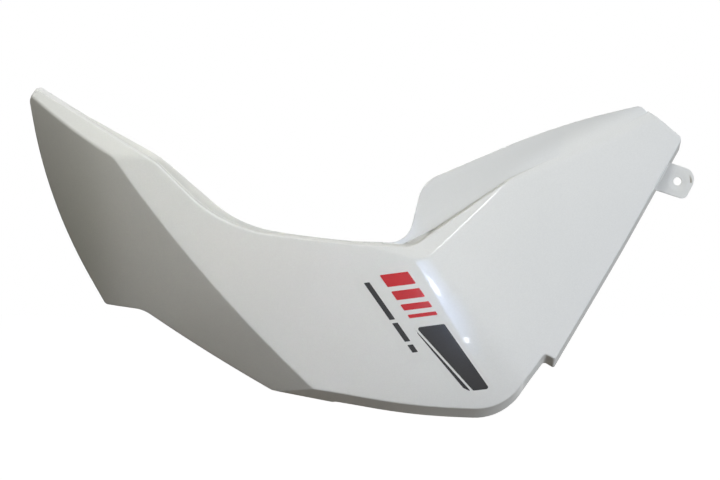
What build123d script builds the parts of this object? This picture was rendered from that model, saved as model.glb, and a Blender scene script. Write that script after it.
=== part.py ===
from build123d import *
from math import atan, cos, degrees, sin
import os

os.makedirs("parts", exist_ok=True)

# All sizes in mm: X to the rear, Y inwards to the machine, Z up.
# Places are given from the datum corner of the outer face, where the main face, the tail face and
# the upper band meet. The finished part is then moved so that the tab hole is the origin.

# Skin
WALL = 2.5
FLANGE_DEPTH = 12.0
LIP_RADIUS = 1.5

# Main face and tail face: one profile across the fold, swung about a far axis for the crown
FOLD_ANGLE = 49.8
FOLD_RADIUS = 70.0
MAIN_TILT = 0.03
TAIL_TILT = 0.25
MAIN_CROWN_RADIUS = 900.0
LENGTH_CROWN_RADIUS = 1000.0
CROWN_TOP = -40.0

# Upper band beside the notch
BAND_NORMAL = (0.0966, -0.9647, 0.2452)
BAND_RADIUS = 6.0

# Strip along the top of the tail face: a plane that rolls off towards the tail ledge
TAIL_STRIP_POINT = (83.6, 26.7, 65.6)
TAIL_STRIP_NORMAL = (0.113, -0.9334, 0.3407)
TAIL_STRIP_RADIUS = 8.0

# Wing: top strip as a plane, lower face as part of a large ball
WING_CORNER = (-232.0, 17.1, 76.3)
WING_TOP_NORMAL = (-0.1517, -0.8822, 0.4457)
WING_TOP_RADIUS = 16.0
WING_BALL_RADIUS = 820.0
WING_BALL_CENTRE = (192.1, 698.2, 242.4)
WING_CREASE_RADIUS = 4.0

# Draw of the edge walls: how far they run in X and Z for each mm inwards
TOP_DRAW = (0.0, 0.35)
LOW_DRAW = (0.0, -0.58)
WING_DRAW = (0.525, 0.354)
LEDGE_DRAW = (0.0, 0.0)

# Corners of the walls, each X, Z and radius, taken at the depth of the datum corner
TOP_TIP = (-296.2, 110.1, 0.0)
TOP_KINK = (-201.9, 68.1, 40.0)
NOTCH_FRONT = (-150.2, 21.2, 107.0)
NOTCH_MIDDLE = (-60.0, 11.3, 600.0)
NOTCH_REAR = (-8.1, 7.6, 20.0)
TOP_BEND = (67.4, 52.6, 40.0)
TOP_TAIL = (172.7, 92.0, 0.0)
TAIL_SHOULDER = (171.8, 148.5, 0.0)
TAIL_CORNER = (202.6, 126.5, 4.0)
REAR_MIDDLE = (152.6, 29.8, 2000.0)
STEP_OUTER = (100.5, -65.9, 2.0)
STEP_INNER = (92.6, -62.5, 3.0)
HEEL = (61.9, -108.0, 45.0)
BELLY = (-6.1, -108.6, 400.0)
BELLY_FRONT = (-80.0, -96.3, 0.0)
WING_FOOT = (-121.7, -108.8, 0.0)
WING_BEND = (-237.4, -56.1, 30.0)
WING_HEEL = (-278.2, -58.9, 4.0)
WING_FRONT = (-322.4, 21.4, 330.0)
WING_TIP = (-332.6, 100.9, 6.0)
TIP_RADIUS = 2.5

# Straight cut of the rim below the main crease: X and Z of its ends
CHIN_FRONT = (-114.0, -100.2)
CHIN_REAR = (-66.2, -109.7)

# Ledge that stands back from the top edge: its drop behind the outer face, and its free edge
LEDGE_DROP = 5.0
LEDGE_TIP = (-297.0, 131.0, 0.0)
LEDGE_KINK = (-198.1, 76.4, 100.0)
LEDGE_NOTCH_FRONT = (-137.8, 24.7, 92.0)
LEDGE_NOTCH_MIDDLE = (-66.0, 12.2, 400.0)
LEDGE_NOTCH_REAR = (-11.4, 11.4, 18.0)
TAIL_FRONT = (0.0, 57.3, 25.0)
TAIL_TOP = (105.0, 102.2, 550.0)
TAIL_END = (169.1, 117.2, 7.0)
TAIL_END_LOW = (200.4, 91.5, 0.0)

# Tail ledge, a twisted face: X, Z and drop of three points inside the top edge, and its slopes
TAIL_LEDGE_FRONT = (-30.0, 3.0, 5.8)
TAIL_LEDGE_MIDDLE = (68.0, 51.0, 3.0)
TAIL_LEDGE_REAR = (190.0, 111.0, 4.5)
TAIL_LEDGE_FRONT_SLOPE = -0.03
TAIL_LEDGE_REAR_SLOPE = -0.1

# Screw tab on the rear edge
TAB_ALONG = 31.7
TAB_REACH = 12.3
TAB_DROP = 8.0
TAB_THICKNESS = 2.5
TAB_WIDTH = 24.0
TAB_END = 11.8
TAB_SKEW = 0.176
TAB_UPPER_RADIUS = 9.5
TAB_LOWER_RADIUS = 5.0
TAB_HOLE_DIAMETER = 6.5

# Pins for rubber grommets on the inside, each X and Z
FRONT_PIN = (-100.0, -20.0)
REAR_PIN = (75.0, -40.0)
PIN_DIAMETER = 8.0
PIN_LENGTH = 14.0
PIN_LEAD = 1.5
BOSS_DIAMETER = 13.0
BOSS_HEIGHT = 12.0
RIB_LENGTH = 15.0
RIB_THICKNESS = 2.0

# Working blocks reach well past the part
REACH = 420.0
BACK = 170.0
PAST = 8.0


def behind(point, normal, inset):
    """Half space behind a plane, moved in by the inset."""
    plane = Plane(origin=point, z_dir=normal)
    return plane * Pos(0, 0, -REACH / 2 - inset) * Box(4 * REACH, 4 * REACH, REACH)


def fold_profile(inset):
    """Depth of the main and tail faces across the fold, closed at the back."""
    tilt_in = atan(MAIN_TILT)
    tilt_out = atan(TAIL_TILT)
    half = FOLD_RADIUS * (tilt_out - tilt_in) / 2
    rise = half * MAIN_TILT + half**2 / (2 * FOLD_RADIUS) + CROWN_TOP**2 / (2 * LENGTH_CROWN_RADIUS)
    start = (-half - inset * sin(tilt_in), inset * cos(tilt_in) - rise)
    along = (cos(tilt_in), sin(tilt_in))
    roll = JernArc(start, along, FOLD_RADIUS - inset, degrees(tilt_out - tilt_in))
    sweep = degrees(REACH / MAIN_CROWN_RADIUS)
    crown = JernArc(start, (-along[0], -along[1]), MAIN_CROWN_RADIUS - inset, -sweep)
    tail_end = roll @ 1 + REACH * Vector(cos(tilt_out), sin(tilt_out))
    tail = Line(roll @ 1, tail_end)
    right = Line(tail_end, (tail_end.X, BACK))
    left_end = crown @ 1
    back = Line((tail_end.X, BACK), (left_end.X, BACK))
    left = Line((left_end.X, BACK), left_end)
    return make_face([roll, tail, right, back, left, crown])


def blend(first, second, near, radius):
    """Common solid of two, with the new edge nearest to a point rounded by the radius, if any."""
    both = first & second
    if radius <= 0:
        return both
    crease = new_edges(first, second, combined=both).sort_by_distance(near)[0]
    return fillet(crease, radius)


def face_solid(inset):
    """Everything behind the outer faces, with each face moved in by the inset."""
    along = Vector(1, 0, 0).rotate(Axis.Y, FOLD_ANGLE)
    across = Vector(0, 0, 1).rotate(Axis.Y, FOLD_ANGLE)
    plane = Plane(origin=along * CROWN_TOP, x_dir=across, z_dir=along * -1)
    axis = Axis(along * CROWN_TOP + Vector(0, LENGTH_CROWN_RADIUS, 0), across)
    profile = plane * fold_profile(inset)
    swing = degrees(REACH / LENGTH_CROWN_RADIUS)
    solid = revolve(profile.rotate(axis, -swing), axis, 2 * swing)
    corner = Vector(*WING_CORNER)
    strip = behind(corner, WING_TOP_NORMAL, inset)
    solid = blend(solid, strip, corner + Vector(20, 0, 0), WING_TOP_RADIUS - inset)
    band = behind((0, 0, 0), BAND_NORMAL, inset)
    solid = blend(solid, band, (20, 0, 20), 0 if inset else BAND_RADIUS)
    tail_strip = behind(TAIL_STRIP_POINT, TAIL_STRIP_NORMAL, inset)
    solid = blend(solid, tail_strip, (130, 40, 88), 0 if inset else TAIL_STRIP_RADIUS)
    centre = Vector(*WING_BALL_CENTRE)
    ball = Pos(*centre) * Sphere(WING_BALL_RADIUS - inset)
    crease = corner + Vector(60, 0, -80)
    return blend(solid, ball, crease, 0 if inset else WING_CREASE_RADIUS)


def outline(corners, grow):
    """Flat face in the datum plane from corners of X, Z and radius, grown by a distance."""
    points = [(x, z) for x, z, _ in corners]
    radii = [radius for _, _, radius in corners]
    face = make_face(FilletPolyline(*points, radius=radii, close=True).edges())
    if grow:
        face = offset(face, grow)
    return Plane.XZ * face


def drawn(face, draw):
    """Prism through a face in the datum plane, along a draw direction."""
    run = Vector(draw[0], 1, draw[1])
    front = Pos(*(run * -BACK)) * face
    return extrude(front, amount=2 * BACK * run.length, dir=run)


def beyond(first, second, length):
    """Sharp corner on the line from one corner through another, a length past it."""
    start = Vector(first[0], first[1])
    end = Vector(second[0], second[1])
    point = end + (end - start).normalized() * length
    return (point.X, point.Y, 0.0)


def top_prism(inset):
    """Everything below the top wall."""
    corners = [beyond(TOP_KINK, TOP_TIP, 100), TOP_KINK, NOTCH_FRONT, NOTCH_MIDDLE, NOTCH_REAR, TOP_BEND]
    corners += [beyond(TOP_BEND, TOP_TAIL, 150), (REACH, -REACH, 0.0), (-REACH, -REACH, 0.0)]
    return drawn(outline(corners, -inset), TOP_DRAW)


def low_prism(inset):
    """Everything inside the rear and bottom walls."""
    corners = [beyond(TAIL_CORNER, TAIL_SHOULDER, 250), TAIL_CORNER, REAR_MIDDLE, STEP_OUTER]
    corners += [STEP_INNER, HEEL, BELLY, beyond(BELLY, BELLY_FRONT, 350), (-REACH, REACH, 0.0)]
    return drawn(outline(corners, -inset), LOW_DRAW)


def wing_prism(inset):
    """Everything inside the front wall of the wing."""
    corners = [beyond(WING_BEND, WING_FOOT, 350), WING_BEND, WING_HEEL, WING_FRONT, WING_TIP]
    corners += [(WING_TIP[0] + REACH / 2, WING_TIP[1] + REACH, 0.0), (REACH, 0.0, 0.0)]
    return drawn(outline(corners, -inset), WING_DRAW)


def ledge_prism(grow):
    """Everything inside the free edge of the ledge."""
    corners = [beyond(LEDGE_KINK, LEDGE_TIP, 120), LEDGE_KINK, LEDGE_NOTCH_FRONT, LEDGE_NOTCH_MIDDLE]
    corners += [LEDGE_NOTCH_REAR, TAIL_FRONT, TAIL_TOP, TAIL_END]
    corners += [beyond(TAIL_END, TAIL_END_LOW, 300), (-REACH, -REACH, 0.0)]
    return drawn(outline(corners, grow), LEDGE_DRAW)


def depth_at(solid, x, z):
    """Depth at which a line inwards first meets a solid."""
    hits = solid.find_intersection_points(Axis((x, -BACK, z), (0, 1, 0)))
    return min(point.Y for point, _ in hits)


def tail_ledge(face, inset):
    """Everything behind the tail ledge, from just inside the top wall to past its free edge."""
    low = []
    for x, z, drop in (TAIL_LEDGE_FRONT, TAIL_LEDGE_MIDDLE, TAIL_LEDGE_REAR):
        low.append(Vector(x, depth_at(face, x, z) + drop, z))
    rise = TAIL_TOP[1] - TAIL_FRONT[1] + 2 * PAST
    front = low[0] + rise * Vector(0, TAIL_LEDGE_FRONT_SLOPE, 1)
    rear = low[2] + rise * Vector(0, TAIL_LEDGE_REAR_SLOPE, 1)
    surface = Face.make_surface_from_curves(Edge.make_three_point_arc(*low), Edge.make_line(front, rear))
    return Pos(0, inset, 0) * extrude(surface, amount=BACK, dir=(0, 1, 0))


def front_part(solid):
    """The part of a solid in front of the tail ledge."""
    return split(solid, Plane.YZ.offset(TAIL_LEDGE_FRONT[0]), keep=Keep.BOTTOM)


def tab_place(face):
    """Centre of the tab hole on the outer side of the tab, with the way out from the rear wall."""
    start = Vector(TAIL_CORNER[0], TAIL_CORNER[1])
    along = (Vector(STEP_OUTER[0], STEP_OUTER[1]) - start).normalized()
    out = Vector(-along.Y, along.X)
    root = start + along * TAB_ALONG
    depth = TAB_DROP + BACK / 3
    for _ in range(20):
        place = root + Vector(LOW_DRAW[0], LOW_DRAW[1]) * depth
        inside = place - out * 3 * WALL
        depth = TAB_DROP + depth_at(face, inside.X, inside.Y)
    hole = place + out * TAB_REACH
    return Vector(hole.X, depth, hole.Y), Vector(out.X, 0, out.Y)


def tab_solid(face):
    """Flat ear with skewed sides and rounded corners, rooted in the rear wall, before its hole."""
    hole, out = tab_place(face)
    root = -TAB_REACH - 2 * WALL
    half = TAB_WIDTH / 2
    upper = [(root, -half - TAB_SKEW * root), (TAB_END, -half - TAB_SKEW * TAB_END)]
    lower = [(TAB_END, half - TAB_SKEW * TAB_END), (root, half - TAB_SKEW * root)]
    radii = [0, TAB_UPPER_RADIUS, TAB_LOWER_RADIUS, 0]
    ear = make_face(FilletPolyline(*upper, *lower, radius=radii, close=True).edges())
    plane = Plane(origin=hole, x_dir=out, z_dir=(0, 1, 0))
    return plane * extrude(ear, amount=TAB_THICKNESS)


def grommet_pin(inner, middle, place):
    """Pin on a ribbed boss that grows from the middle of the wall."""
    x, z = place
    base = depth_at(inner, x, z)
    top = base + BOSS_HEIGHT
    plane = Plane(origin=(x, 0, z), x_dir=(1, 0, 0), z_dir=(0, 1, 0))
    boss = plane * Pos(0, 0, top / 2) * Cylinder(BOSS_DIAMETER / 2, top + 2 * PAST)
    boss = split(boss, Plane.XZ.offset(-top), keep=Keep.TOP)
    shape = [(0, -PAST), (RIB_LENGTH, -PAST), (RIB_LENGTH, base + RIB_THICKNESS), (0, top - RIB_THICKNESS)]
    rib = extrude(Plane.XZ * make_face(Polyline(*shape, close=True)), amount=RIB_THICKNESS / 2, both=True)
    for turn in range(4):
        boss += plane * Rot(0, 0, 90 * turn) * rib
    shank = plane * Pos(0, 0, top + PIN_LENGTH / 2) * Cylinder(PIN_DIAMETER / 2, PIN_LENGTH)
    tip = shank.edges().group_by(Axis.Y)[-1]
    return (boss & middle) + chamfer(tip, PIN_LEAD)


outer_face = face_solid(0)
inner_face = face_solid(WALL)
outer_walls = top_prism(0) & low_prism(0) & wing_prism(0)
inner_walls = top_prism(WALL) & low_prism(WALL) & wing_prism(WALL)

# Outer form: the body with its lip rounded, and the ledge behind the top wall
body = outer_face & outer_walls
body = fillet(new_edges(outer_face, outer_walls, combined=body), LIP_RADIUS)
tip_walls = blend(ledge_prism(0), wing_prism(0), (WING_TIP[0], 50, LEDGE_TIP[1]), TIP_RADIUS)
front_ledge = front_part(face_solid(LEDGE_DROP)) & tip_walls & low_prism(0)
rear_ledge = tail_ledge(outer_face, 0) & ledge_prism(0)
form = body + front_ledge + rear_ledge

# Hollow: the same form moved in by the wall, open past the free edges
front_hollow = front_part(face_solid(LEDGE_DROP + WALL)) & ledge_prism(PAST)
front_hollow = front_hollow & wing_prism(WALL) & low_prism(WALL)
rear_hollow = tail_ledge(outer_face, WALL) & ledge_prism(PAST)
panel = form - (inner_face & inner_walls) - front_hollow - rear_hollow

# The walls end in a rim at an even depth behind the outer faces, less above the ledge and at the chin
rim = face_solid(FLANGE_DEPTH)
panel = panel - (rim & top_prism(0)) - front_part(rim)
panel = panel - front_part(face_solid(LEDGE_DROP + WALL) - ledge_prism(0))
chin_run = Vector(CHIN_REAR[0] - CHIN_FRONT[0], 0, CHIN_REAR[1] - CHIN_FRONT[1]).normalized()
panel = panel & behind((CHIN_FRONT[0], 0, CHIN_FRONT[1]), chin_run.cross(Vector(0, -1, 0)), 0)

# Tab and pins
hole, _ = tab_place(outer_face)
bore = Pos(*hole) * Rot(90, 0, 0) * Cylinder(TAB_HOLE_DIAMETER / 2, 6 * TAB_THICKNESS)
panel = panel + tab_solid(outer_face) - bore
middle_face = face_solid(WALL / 2)
for place in (FRONT_PIN, REAR_PIN):
    panel = panel + grommet_pin(inner_face, middle_face, place)

# The origin is the middle of the tab hole
centre = hole + Vector(0, TAB_THICKNESS / 2, 0)
panel = Pos(*(centre * -1)) * panel
print("solids", len(panel.solids()), "valid", panel.is_valid, "volume", panel.volume)
print("datum to tab hole", centre)
for place in (FRONT_PIN, REAR_PIN):
    base = depth_at(inner_face, *place)
    print("pin root", Vector(place[0], base + BOSS_HEIGHT, place[1]) - centre)
export_step(panel, "parts/fairing_panel.step")
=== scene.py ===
"""Looks of a moulded motorcycle side panel: pearl paint outside, bare ABS inside, stripe film on its face."""

import logging
import math
from collections import Counter
from dataclasses import dataclass, field
from enum import Enum

import bmesh
import bpy
import numpy as np
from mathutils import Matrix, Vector
from mathutils.bvhtree import BVHTree
from mathutils.geometry import delaunay_2d_cdt
from mathutils.kdtree import KDTree


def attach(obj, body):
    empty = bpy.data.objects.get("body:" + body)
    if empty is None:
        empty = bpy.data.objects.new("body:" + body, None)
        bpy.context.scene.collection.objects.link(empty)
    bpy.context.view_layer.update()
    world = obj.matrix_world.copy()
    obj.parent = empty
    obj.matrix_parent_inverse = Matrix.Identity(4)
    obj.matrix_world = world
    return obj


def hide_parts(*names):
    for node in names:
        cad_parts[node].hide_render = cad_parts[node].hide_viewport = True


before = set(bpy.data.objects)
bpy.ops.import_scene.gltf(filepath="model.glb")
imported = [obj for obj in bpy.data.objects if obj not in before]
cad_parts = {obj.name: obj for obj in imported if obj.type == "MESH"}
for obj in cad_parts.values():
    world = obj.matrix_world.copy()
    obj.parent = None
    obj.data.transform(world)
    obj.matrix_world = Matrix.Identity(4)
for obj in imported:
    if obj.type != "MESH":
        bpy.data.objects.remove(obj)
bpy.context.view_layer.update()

LOG = logging.getLogger("side_panel")
MM = 0.001

# These keep roots and divisions away from nought
SMALL = 1e-9
TINY = 1e-12

WHITE = (1.0, 1.0, 1.0, 1.0)
SQUARE = ((-1.0, -1.0, 0.0), (1.0, -1.0, 0.0), (1.0, 1.0, 0.0), (-1.0, 1.0, 0.0))

# A Mix node's colour sockets share their names with its other kinds, so they go by number
SHARE, FIRST, SECOND, MIXED = 0, 6, 7, 2
COLOURS = {"data_type": "RGBA"}
SMOOTH = {"interpolation_type": "SMOOTHSTEP"}

Triple = tuple[float, float, float]
Pair = tuple[float, float]
Edge = tuple[int, int]
Tree = bpy.types.NodeTree
Socket = bpy.types.NodeSocket


class Side(Enum):
    """Side of the skin that a face of the panel belongs to; the value is its material slot."""

    OUTER = 0
    INNER = 1

    @property
    def way(self) -> int:
        """Sense along Y in which the side's faces look."""
        return -1 if self is Side.OUTER else 1


def linear(code: str) -> tuple[float, float, float, float]:
    """Turn an sRGB hex colour into linear light.

    Args:
        code: six hex digits after a hash sign.

    Returns:
        Linear red, green and blue, with an alpha of 1.
    """
    shares = [int(code[place:place + 2], 16) / 255 for place in (1, 3, 5)]
    light = [s / 12.92 if s <= 0.04045 else ((s + 0.055) / 1.055) ** 2.4 for s in shares]
    return (light[0], light[1], light[2], 1.0)


def add_node(tree: Tree, kind: str, settings: dict | None = None, links: dict | None = None) -> bpy.types.Node:
    """Add a shader node with its settings and links.

    Args:
        tree: the node tree that takes the node.
        kind: the node's type name.
        settings: values by property name, or by the name or number of an input socket.
        links: output sockets by the name or number of the input that each goes to.

    Returns:
        The new node.
    """
    node = tree.nodes.new(kind)
    for key, value in (settings or {}).items():
        if isinstance(key, str) and hasattr(node, key):
            setattr(node, key, value)
        else:
            node.inputs[key].default_value = value
    for key, socket in (links or {}).items():
        tree.links.new(socket, node.inputs[key])
    return node


def new_material(name: str) -> tuple[bpy.types.Material, Tree, bpy.types.Node]:
    """Make an empty node material.

    Args:
        name: the material's name.

    Returns:
        The material, its node tree and its output node.
    """
    material = bpy.data.materials.new(name)
    material.use_nodes = True
    tree = material.node_tree
    tree.nodes.clear()
    return material, tree, add_node(tree, "ShaderNodeOutputMaterial")


def new_object(name: str, points: np.ndarray | list | tuple, faces: list) -> bpy.types.Object:
    """Make a mesh object and link it to the scene.

    Args:
        name: the name of the object and of its mesh.
        points: rows of X, Y and Z, in metres.
        faces: rows of point numbers.

    Returns:
        The object.
    """
    mesh = bpy.data.meshes.new(name)
    mesh.from_pydata(points, [], faces)
    made = bpy.data.objects.new(name, mesh)
    bpy.context.scene.collection.objects.link(made)
    return made


def point_at(item: bpy.types.Object, place: Triple, aim: Triple) -> None:
    """Put a lamp or a card in its place and turn it to what it aims at."""
    item.location = place
    item.rotation_euler = (Vector(aim) - Vector(place)).to_track_quat("-Z", "Y").to_euler()


def point_tree(points: np.ndarray | list) -> KDTree:
    """Make a search tree of points.

    Args:
        points: rows of X, Y and Z.

    Returns:
        The tree, ready for searches.
    """
    tree = KDTree(len(points))
    for place, point in enumerate(points):
        tree.insert(point, place)
    tree.balance()
    return tree


def unit_rows(rows: np.ndarray) -> np.ndarray:
    """Rows brought to unit length, with a row of noughts kept."""
    return rows / np.maximum(np.linalg.norm(rows, axis=1), TINY)[:, None]


def crosses(points: np.ndarray, triangles: np.ndarray) -> np.ndarray:
    """Cross product of each triangle's sides: along its normal, and twice as long as its area."""
    first, second, third = (points[triangles[:, corner]] for corner in range(3))
    return np.cross(second - first, third - first)


def open_edges(triangles: np.ndarray) -> list[Edge]:
    """Find the edges that only one triangle has.

    Args:
        triangles: rows of point numbers.

    Returns:
        Pairs of point numbers, each in its triangle's order.
    """
    edges = [(int(row[corner - 1]), int(row[corner])) for row in triangles for corner in range(3)]
    uses = Counter(frozenset(edge) for edge in edges)
    return [edge for edge in edges if uses[frozenset(edge)] == 1]


@dataclass
class Sheet:
    """Depth of a face over the panel's side view, with its slopes, for many places at once."""

    depth: np.ndarray
    slope_x: np.ndarray
    slope_z: np.ndarray

    def joined(self, other: "Sheet", radius: float) -> "Sheet":
        """Join two faces at their ridge.

        Args:
            other: the second face.
            radius: the rolling radius along the ridge, or 0 for a sharp one.

        Returns:
            The deeper of the two faces, rounded along the ridge.
        """
        second = other.depth > self.depth
        depth = np.where(second, other.depth, self.depth)
        slope_x = np.where(second, other.slope_x, self.slope_x)
        slope_z = np.where(second, other.slope_z, self.slope_z)
        if radius <= 0:
            return Sheet(depth, slope_x, slope_z)
        way_x = other.slope_x - self.slope_x
        way_z = other.slope_z - self.slope_z
        turn = np.maximum(np.hypot(way_x, way_z), SMALL)
        way_x = way_x / turn
        way_z = way_z / turn
        ridge = self.slope_z * way_x - self.slope_x * way_z
        stretch = np.sqrt(1 + ridge**2)
        low = (self.slope_x * way_x + self.slope_z * way_z) / stretch
        high = (other.slope_x * way_x + other.slope_z * way_z) / stretch
        past = (other.depth - self.depth) / turn
        middle = radius * (np.sqrt(1 + low**2) - np.sqrt(1 + high**2)) / np.maximum(high - low, SMALL)
        run = past - middle
        rolled = (run > radius * low / np.sqrt(1 + low**2)) & (run < radius * high / np.sqrt(1 + high**2))
        height = np.sqrt(np.maximum(radius**2 - run**2, SMALL))
        base = self.depth - low * stretch * past
        arc = base + stretch * (low * middle + radius * np.sqrt(1 + low**2) - height)
        steep = stretch * run / height
        return Sheet(
            np.where(rolled, arc, depth),
            np.where(rolled, steep * way_x - ridge * way_z, slope_x),
            np.where(rolled, steep * way_z + ridge * way_x, slope_z),
        )

    def normals(self) -> np.ndarray:
        """Outward unit normals of the face, one row for each place."""
        return unit_rows(np.column_stack([self.slope_x, -np.ones_like(self.depth), self.slope_z]))


@dataclass(frozen=True)
class SkinForm:
    """Faces of the moulded skin as the solid has them, in mm from the datum corner; the band's edge is softer."""

    wall: float = 2.5
    ledge_drop: float = 5.0
    fold_angle: float = 49.8
    fold_radius: float = 70.0
    main_tilt: float = 0.03
    tail_tilt: float = 0.25
    main_crown_radius: float = 900.0
    length_crown_radius: float = 1000.0
    crown_top: float = -40.0
    band_point: Triple = (0.0, 0.0, 0.0)
    band_normal: Triple = (0.0966, -0.9647, 0.2452)
    band_radius: float = 10.0
    tail_strip_point: Triple = (83.6, 26.7, 65.6)
    tail_strip_normal: Triple = (0.113, -0.9334, 0.3407)
    tail_strip_radius: float = 8.0
    wing_corner: Triple = (-232.0, 17.1, 76.3)
    wing_top_normal: Triple = (-0.1517, -0.8822, 0.4457)
    wing_top_radius: float = 16.0
    wing_ball_radius: float = 820.0
    wing_ball_centre: Triple = (192.1, 698.2, 242.4)
    wing_crease_radius: float = 4.0
    origin: Triple = (198.606, 59.4008, 59.0053)

    def fold(self, x: np.ndarray, z: np.ndarray, inset: float) -> Sheet:
        """Lay out the main and tail faces with the roll between them.

        Args:
            x: places along the panel.
            z: places up the panel.
            inset: how far the face is moved in.

        Returns:
            The folded face at those places.
        """
        turn = math.radians(self.fold_angle)
        across = x * math.sin(turn) + z * math.cos(turn)
        along = x * math.cos(turn) - z * math.sin(turn) - self.crown_top
        tilt_in = math.atan(self.main_tilt)
        tilt_out = math.atan(self.tail_tilt)
        half = self.fold_radius * (tilt_out - tilt_in) / 2
        rise = half * self.main_tilt + half**2 / (2 * self.fold_radius)
        rise += self.crown_top**2 / (2 * self.length_crown_radius)
        depth = np.zeros_like(across)
        slope = np.zeros_like(across)
        roll_start = -half - inset * math.sin(tilt_in)
        roll_end = -half + self.fold_radius * (math.sin(tilt_out) - math.sin(tilt_in))
        roll_end -= inset * math.sin(tilt_out)
        rolled = across >= roll_start
        for radius, part in ((self.main_crown_radius, ~rolled), (self.fold_radius, rolled)):
            centre = (-half - radius * math.sin(tilt_in), radius * math.cos(tilt_in) - rise)
            run = np.minimum(across, roll_end)[part] - centre[0]
            drop = np.sqrt((radius - inset) ** 2 - run**2)
            depth[part] = centre[1] - drop
            slope[part] = run / drop
        depth += np.maximum(across - roll_end, 0) * self.tail_tilt
        reach = self.length_crown_radius
        swing = np.sqrt((reach - depth) ** 2 - along**2)
        slope_across = (reach - depth) * slope / swing
        slope_along = along / swing
        return Sheet(
            reach - swing,
            slope_across * math.sin(turn) + slope_along * math.cos(turn),
            slope_across * math.cos(turn) - slope_along * math.sin(turn),
        )

    def flat(self, x: np.ndarray, z: np.ndarray, point: Triple, normal: Triple, inset: float) -> Sheet:
        """Lay out a flat face through a point.

        Args:
            x: places along the panel.
            z: places up the panel.
            point: a point on the face.
            normal: the face's outward unit normal.
            inset: how far the face is moved in.

        Returns:
            The face at those places.
        """
        slope_x = np.full_like(x, -normal[0] / normal[1])
        slope_z = np.full_like(x, -normal[2] / normal[1])
        depth = point[1] - inset / normal[1] + slope_x * (x - point[0]) + slope_z * (z - point[2])
        return Sheet(depth, slope_x, slope_z)

    def ball(self, x: np.ndarray, z: np.ndarray, inset: float) -> Sheet:
        """Lay out the wing's lower face, a part of a large ball.

        Args:
            x: places along the panel.
            z: places up the panel.
            inset: how far the face is moved in.

        Returns:
            The face at those places.
        """
        run_x = x - self.wing_ball_centre[0]
        run_z = z - self.wing_ball_centre[2]
        # Past the ball's rim, far from the wing, the root is held at 1 mm
        reach = np.sqrt(np.maximum((self.wing_ball_radius - inset) ** 2 - run_x**2 - run_z**2, 1.0))
        return Sheet(self.wing_ball_centre[1] - reach, run_x / reach, run_z / reach)

    def sheet(self, x: np.ndarray, z: np.ndarray, inset: float, rounded: bool = True) -> Sheet:
        """Lay out the whole outer skin, or the same skin moved in.

        Args:
            x: places along the panel.
            z: places up the panel.
            inset: how far every face is moved in.
            rounded: whether ridges get their radius.

        Returns:
            The skin at those places.
        """
        tight = rounded and inset == 0
        skin = self.fold(x, z, inset)
        for point, normal, radius in (
            (self.wing_corner, self.wing_top_normal, self.wing_top_radius - inset if rounded else 0),
            (self.band_point, self.band_normal, self.band_radius if tight else 0),
            (self.tail_strip_point, self.tail_strip_normal, self.tail_strip_radius if tight else 0),
        ):
            skin = skin.joined(self.flat(x, z, point, normal, inset), radius)
        return skin.joined(self.ball(x, z, inset), self.wing_crease_radius if tight else 0)


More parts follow.
